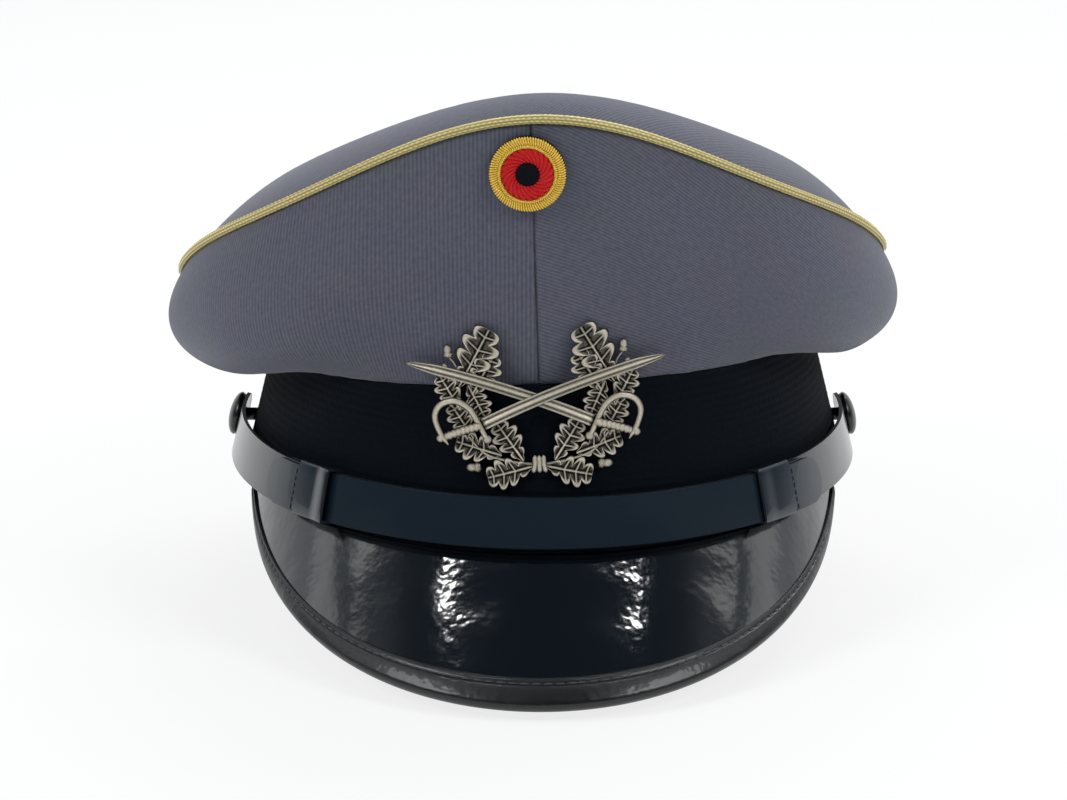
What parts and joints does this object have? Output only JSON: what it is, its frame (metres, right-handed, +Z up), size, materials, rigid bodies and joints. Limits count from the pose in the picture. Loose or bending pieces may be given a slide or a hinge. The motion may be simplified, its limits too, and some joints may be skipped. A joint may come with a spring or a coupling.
{
  "type": "military peaked cap",
  "caption": "Peaked uniform cap with a stiff crown, ribbed band, glossy visor, chin strap, rosette cockade and a metal front badge; worn on the head.",
  "frame": {"origin": "centre of the head opening, on the plane of the band's lower edge", "axes": "+Z up through the crown, -Y towards the front (the visor), +X to the left of the wearer, which is the right of someone who looks at the front"},
  "size_m": [0.2156, 0.2621, 0.1545],
  "materials": {
    "crown_cloth": "matt twill-woven wool gabardine, slate grey with a purple cast",
    "band_cloth": "matt ribbed mohair braid, blue-black",
    "stiffener": "matt resin-stiffened buckram",
    "sweat_leather": "semi-matt tan leather",
    "patent_leather": "high-gloss black patent leather",
    "visor_board": "matt leather-board",
    "visor_lining": "matt black leather",
    "gold_cord": "braided gold cord with a dull sheen",
    "hoop": "smooth nylon rod",
    "spring_steel": "tempered steel strip",
    "lining": "satin-weave lining cloth",
    "brass": "dull gilt brass",
    "bullion_gold": "coiled gold bullion wire",
    "bullion_red": "twisted deep red thread",
    "felt": "black wool felt",
    "badge_metal": "cast white metal, darkened in the recesses"
  },
  "bodies": {
    "cap": {"band_cover": "band_cloth", "band_stiffener": "stiffener", "sweatband": "sweat_leather", "quarter_front_left": "crown_cloth", "quarter_front_right": "crown_cloth", "quarter_rear_left": "crown_cloth", "quarter_rear_right": "crown_cloth", "crown_tip": "crown_cloth", "crown_piping": "gold_cord", "crown_hoop": "hoop", "front_stay": "spring_steel", "lining_tip": "lining", "lining_side_left": "lining", "lining_side_right": "lining", "visor_patent": "patent_leather", "visor_board": "visor_board", "visor_lining": "visor_lining", "visor_binding": "patent_leather", "button_left": "brass", "button_right": "brass", "button_clip_left": "spring_steel", "button_clip_right": "spring_steel", "cockade_base": "felt", "cockade_gold_ring": "bullion_gold", "cockade_red_ring": "bullion_red", "cockade_centre": "felt", "badge_wreath": "badge_metal", "badge_knot": "badge_metal", "badge_sabre_left": "badge_metal", "badge_sabre_right": "badge_metal", "badge_post_left": "brass", "badge_post_right": "brass", "badge_nut_left": "brass", "badge_nut_right": "brass"},
    "chin_strap": {"chin_strap_left": "patent_leather", "chin_strap_right": "patent_leather"},
    "slide_left": {"slide_left": "patent_leather"},
    "slide_right": {"slide_right": "patent_leather"}
  },
  "joints": [
    {"name": "chin_strap_lift", "type": "hinge", "parent": "cap", "child": "chin_strap", "pos_m": [0, 0.009, 0.0085], "axis": [-1, 0, 0], "range_deg": [0, 1.6]},
    {"name": "slide_left_travel", "type": "hinge", "parent": "chin_strap", "child": "slide_left", "pos_m": [0.00851, -0.01216, 0.0085], "axis": [0, 0, 1], "range_deg": [0, 16]},
    {"name": "slide_right_travel", "type": "hinge", "parent": "chin_strap", "child": "slide_right", "pos_m": [-0.00851, -0.01216, 0.0085], "axis": [0, 0, -1], "range_deg": [0, 16]}
  ]
}
